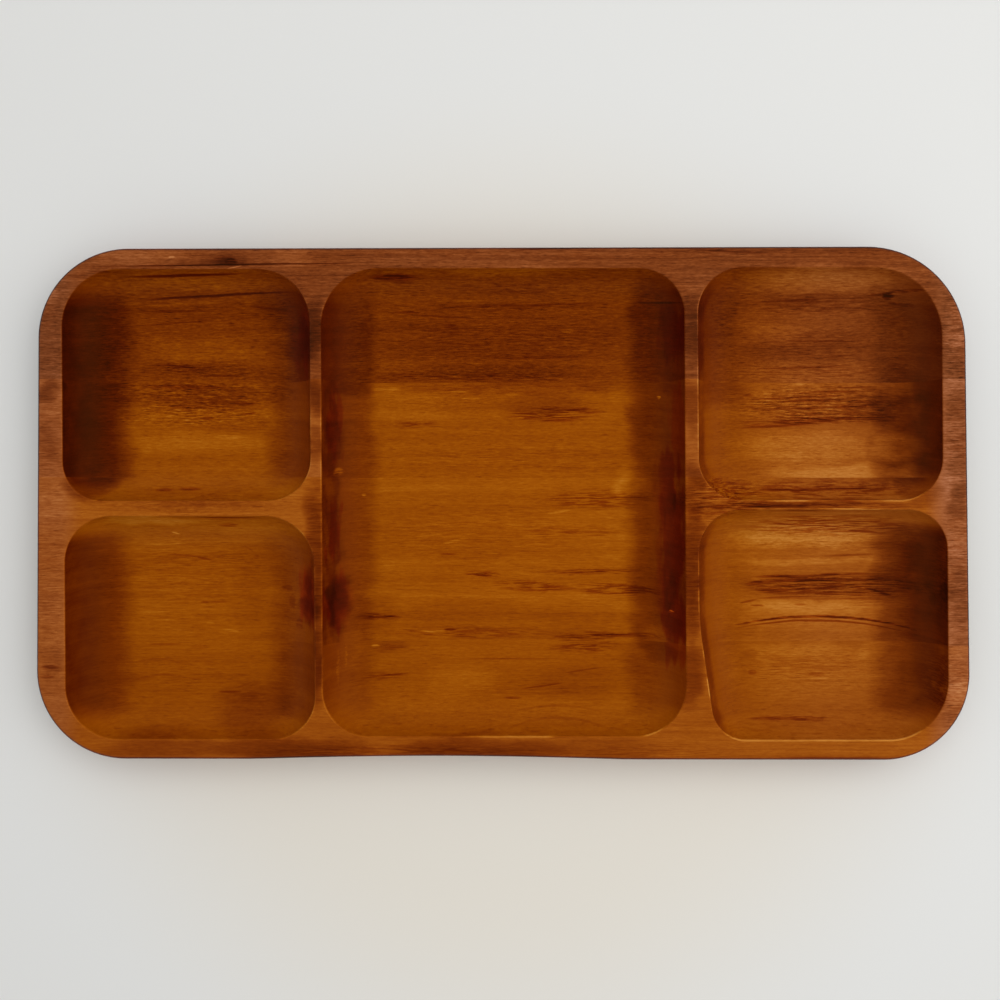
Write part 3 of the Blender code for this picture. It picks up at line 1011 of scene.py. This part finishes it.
def boardWood(name, board):
    look = woodLook
    material = bpy.data.materials.new(name)
    material.use_nodes = True
    tree = material.node_tree
    shader = tree.nodes["Principled BSDF"]
    wire = Wire(tree)
    place = wire.add("ShaderNodeTexCoord", {}, {}, "Object")
    inMillimetres = wire.add("ShaderNodeVectorMath", {"operation": "SCALE"}, {0: place, "Scale": 1 / mm})
    x = wire.add("ShaderNodeSeparateXYZ", {}, {0: inMillimetres}, "X")
    y = x.other("Y")
    z = x.other("Z")
    facingX = wire.add("ShaderNodeSeparateXYZ", {}, {0: place.other("Normal")}, "X")
    facingY = facingX.other("Y")
    facingZ = facingX.other("Z")

    def noise(vector, kind):
        return stretched(wire, vector, *woodNoises[kind])

    def setIn(value, kind):
        return value.between(*woodRanges[kind])

    # The layers wander a little along the board and lean with its depth
    drift = noise(inMillimetres, "drift")
    ripple = noise(inMillimetres, "ripple")
    waver = look["drift"] * (drift - 0.5) + look["ripple"] * (ripple - 0.5)
    across = y + look["tilt"] * (z - pocketForm["floorHeight"]) + waver
    deep = z * look["layerDepth"] + board["seed"]
    grain = wire.add("ShaderNodeCombineXYZ", {}, {"X": x, "Y": across, "Z": deep})
    fibres = noise(grain, "fibres")
    flecks = noise(grain, "flecks")
    pores = setIn(noise(grain, "pores"), "pores")
    clouds = noise(inMillimetres, "clouds")
    tone = board["tone"] + look["layerTone"] * (noise(grain, "layers") - 0.5)
    tone = tone + look["cloudTone"] * (clouds - 0.5)

    # Soft zones
    coarse = setIn(z, "rimZ") * (setIn(x, "leftRimX") + look["rimCoarse"] * setIn(x, "rightRimX"))
    surface = wire.add("ShaderNodeCombineXYZ", {}, {"X": x, "Y": across, "Z": 1.0})
    blotted = displaced(wire, surface, noise(inMillimetres, "blots").other("Color"), look["blots"])
    for *place, loss, lean, bend, coarser in map(filledOut, board["zones"]):
        tone = tone - spot(wire, blotted, place, loss, lean, bend)
        if coarser:
            coarse = coarse + spot(wire, blotted, place, coarser, lean, bend)
    onRim = 0.0
    for *place, loss in board["dividers"]:
        onRim = onRim + spot(wire, blotted, place, loss)
    tone = tone - onRim * setIn(z, "dividerZ")

    # Red stains that ran down the walls, together with painted shade on those walls
    runny = displaced(wire, surface, noise(inMillimetres, "runs").other("Color"), look["runs"])
    onWall = setIn(z, "stainAndShadeFootZ") * setIn(z, "stainAndShadeTopZ")
    red = 0.0
    for *place, redness, loss in board["stainsAndShade"]:
        stainAndShade = spot(wire, runny, place, 1.0, edge=look["stainAndShadeEdge"]) * onWall
        tone = tone - loss * stainAndShade
        red = red + redness * stainAndShade

    # Marks and streaks, frayed along the grain
    frayX, frayY = look["fray"]
    frayed = wire.add(
        "ShaderNodeCombineXYZ",
        {},
        {"X": x + frayX * (fibres - 0.5), "Y": across + frayY * (flecks - 0.5), "Z": 1.0},
    )
    thin = 0.0
    wide = 0.0
    for *place, loss, lean, bend, _ in map(filledOut, board["marks"]):
        if place[3] < look["thinMark"]:
            thin = thin + spot(wire, surface, place, loss, lean, bend, look["markEdge"])
        else:
            wide = wide + spot(wire, frayed, place, loss, lean, bend, look["markEdge"])
    streaky = 0.0
    for *place, loss, lean in board["streaks"]:
        streaky = streaky + spot(wire, frayed, place, loss, lean)
    streaky = streaky * setIn(noise(grain, "broken"), "broken")
    threads = setIn(noise(grain, "threads"), "threads")
    tone = tone - streaky - thin * (0.5 + fibres) - wide * threads

    # Fine grain, which the end walls hardly show
    fine = look["fibreTone"] * (fibres - 0.5) + look["fleckTone"] * (flecks - 0.5)
    fine = fine - look["poreTone"] * pores
    lineTone = look["lineTone"] + board["rimLines"] * setIn(z, "rimZ")
    tone = tone + lineTone * (noise(grain, "longLines") - 0.5)
    strands = look["strandTone"] * coarse * (noise(grain, "strands") - 0.5)
    fine = (board["coarse"] + look["coarseShare"] * coarse) * fine + strands
    endGrain = setIn(abs(facingX), "endX") * setIn(z, "belowRimZ")
    tone = tone + fine * (1.0 - look["endSmooth"] * endGrain)

    tone = tone + paintedEdgeShadeAndGlint(wire, x, y, z, (facingX, facingY, facingZ), clouds)
    smudges = noise(inMillimetres, "smudges")
    # Painted shade on the end walls and at their feet, together with their darker end grain
    onEnds = setIn(abs(facingY), "sidewaysY") * setIn(z, "belowRimZ")
    endGrainAndShade = endGrainAndShadeLoss(wire, board, x, smudges) * onEnds
    tone = tone - endGrainAndShade * (look["lossLeast"] + look["lossMore"] * smudges)

    # The colour is oiled wood, worn and painted with sheen at the rim, painted with sheen to the right, and
    # redder in marks and in the stains and painted shade of the end walls
    oiled = wire.add("ShaderNodeValToRGB", {"stops": toneStops(oiledColours)}, {"Fac": tone})
    wornAndSheen = wire.add("ShaderNodeValToRGB", {"stops": toneStops(wornAndSheenColours)}, {"Fac": tone})
    # The rims are worn and painted with sheen, most at their ends
    leftWearAndSheen, rightWearAndSheen = (value - board["rimWearAndSheen"] for value in board["endWearAndSheen"])
    rimWearAndSheen = board["rimWearAndSheen"] + leftWearAndSheen * setIn(x, "leftWearAndSheenX") + rightWearAndSheen * setIn(x, "rightWearAndSheenX")
    rim = setIn(z, "wearAndSheenZ") * setIn(facingZ, "flatZ")
    # Off the rim, painted sheen grows towards the right in the same paler, greyer colour
    wearAndSheen = rim * rimWearAndSheen + board["paintedSheenRight"] * setIn(x, "paintedSheenX") * (1.0 - rim)
    colour = wire.mix(wearAndSheen * (look["wearAndSheenLeast"] + look["wearAndSheenMore"] * clouds), oiled, wornAndSheen)
    colour = wire.mix(setIn(streaky + thin + wide, "marked"), colour, look["markRed"], "MULTIPLY")
    colour = wire.mix(red, colour, look["stainAndShadeRed"], "MULTIPLY")
    tree.links.new(colour.socket, shader.inputs["Base Color"])

    gloss = look["roughness"] + look["roughnessSpread"] * (clouds - 0.5)
    gloss = gloss + look["poreRoughness"] * pores + look["rimRoughness"] * rim
    tree.links.new(gloss.socket, shader.inputs["Roughness"])
    relief = {"Strength": look["bumpStrength"], "Distance": look["bump"]}
    relief["Height"] = fibres * look["bumpFibres"] - pores + ripple * look["bumpRipple"]
    tree.links.new(wire.add("ShaderNodeBump", {}, relief).socket, shader.inputs["Normal"])
    shader.inputs["Specular IOR Level"].default_value = look["specular"]
    shader.inputs["Specular Tint"].default_value = (*look["specularTint"], 1)
    return material


whole = wholeTray()
print("tray formed with", len(whole.faces), "faces")
names = list(boards)
seams = []
for behind, ahead in zip(names, names[1:]):
    seams.append((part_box(boards[behind]["node"])[0].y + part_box(boards[ahead]["node"])[1].y) / 2)
for name, backSeam, frontSeam in zip(names, [None] + seams, seams + [None]):
    board = boards[name]
    wood = boardWood(name + "Wood", board)
    fineBoard(whole, name, board["node"], frontSeam, backSeam, wood)
whole.free()
print("boards sawn at", [round(seam / mm, 1) for seam in seams])

tableLook = {
    "size": 6.0,
    "colour": (0.80, 0.795, 0.77),
    "paintedBounce": (0.80, 0.752, 0.665),  # painted warm bounce light and shade, where the tray's own colour is thrown on it
    "glowMiddle": (0.0, -0.06),
    "glowReach": 0.31,
    "roughness": 0.75,
}


def plainTable():
    shape = bmesh.new()
    bmesh.ops.create_grid(shape, x_segments=1, y_segments=1, size=tableLook["size"] / 2)
    mesh = bpy.data.meshes.new("table")
    shape.to_mesh(mesh)
    shape.free()
    material = bpy.data.materials.new("paleTable")
    material.use_nodes = True
    shader = material.node_tree.nodes["Principled BSDF"]
    wire = Wire(material.node_tree)
    place = wire.add("ShaderNodeTexCoord", {}, {}, "Object")
    # Painted warm bounce light and shade on the table round the tray
    away = wire.vector("DISTANCE", place, (*tableLook["glowMiddle"], 0.0), output=1)
    near = away.between(tableLook["glowReach"], tableLook["glowReach"] / 2)
    colour = wire.mix(near, (*tableLook["colour"], 1), (*tableLook["paintedBounce"], 1))
    material.node_tree.links.new(colour.socket, shader.inputs["Base Color"])
    shader.inputs["Roughness"].default_value = tableLook["roughness"]
    mesh.materials.append(material)
    table = bpy.data.objects.new("table", mesh)
    bpy.context.scene.collection.objects.link(table)


# Places in metres, powers in watts. Only the sky shows as sheen on the oiled wood.
lamps = {
    "softSide": {"place": (0.95, 0.05, 1.0), "size": 1.4, "power": 4.6, "sheen": False},
    "softOverhead": {"place": (0.15, 0.30, 1.35), "size": 1.8, "power": 8.2, "sheen": False},
}
sky = {"colour": (0.98, 0.99, 1.0), "sides": 0.74, "overhead": 0.08, "fadeFrom": 0.72, "fadeTo": 0.92}


def studioLight():
    for name, look in lamps.items():
        data = bpy.data.lights.new(name, "AREA")
        data.shape = "DISK"
        data.size = look["size"]
        data.energy = look["power"]
        lamp = bpy.data.objects.new(name, data)
        lamp.location = look["place"]
        lamp.rotation_euler = (-Vector(look["place"])).to_track_quat("-Z", "Y").to_euler()
        lamp.visible_glossy = look["sheen"]
        bpy.context.scene.collection.objects.link(lamp)
    world = bpy.data.worlds.new("paleRoom")
    world.use_nodes = True
    bpy.context.scene.world = world
    wire = Wire(world.node_tree)
    direction = wire.add("ShaderNodeTexCoord", {}, {}, "Generated")
    up = wire.add("ShaderNodeSeparateXYZ", {}, {0: direction}, "Z")
    brightness = up.between(sky["fadeFrom"], sky["fadeTo"], sky["sides"], sky["overhead"])
    background = world.node_tree.nodes["Background"]
    world.node_tree.links.new(brightness.socket, background.inputs["Strength"])
    background.inputs["Color"].default_value = (*sky["colour"], 1.0)


photoView = {"place": (-0.00197, 0.00172, 0.574), "focalInFrames": 1.0081, "clipStart": 0.01}


def photoCamera():
    data = bpy.data.cameras.new("photoCamera")
    data.lens = photoView["focalInFrames"] * data.sensor_width
    data.clip_start = photoView["clipStart"]
    camera = bpy.data.objects.new("photoCamera", data)
    camera.location = photoView["place"]
    bpy.context.scene.collection.objects.link(camera)
    bpy.context.scene.camera = camera


plainTable()
studioLight()
photoCamera()
bpy.context.scene.view_settings.view_transform = "Standard"
print("table, light and camera placed")
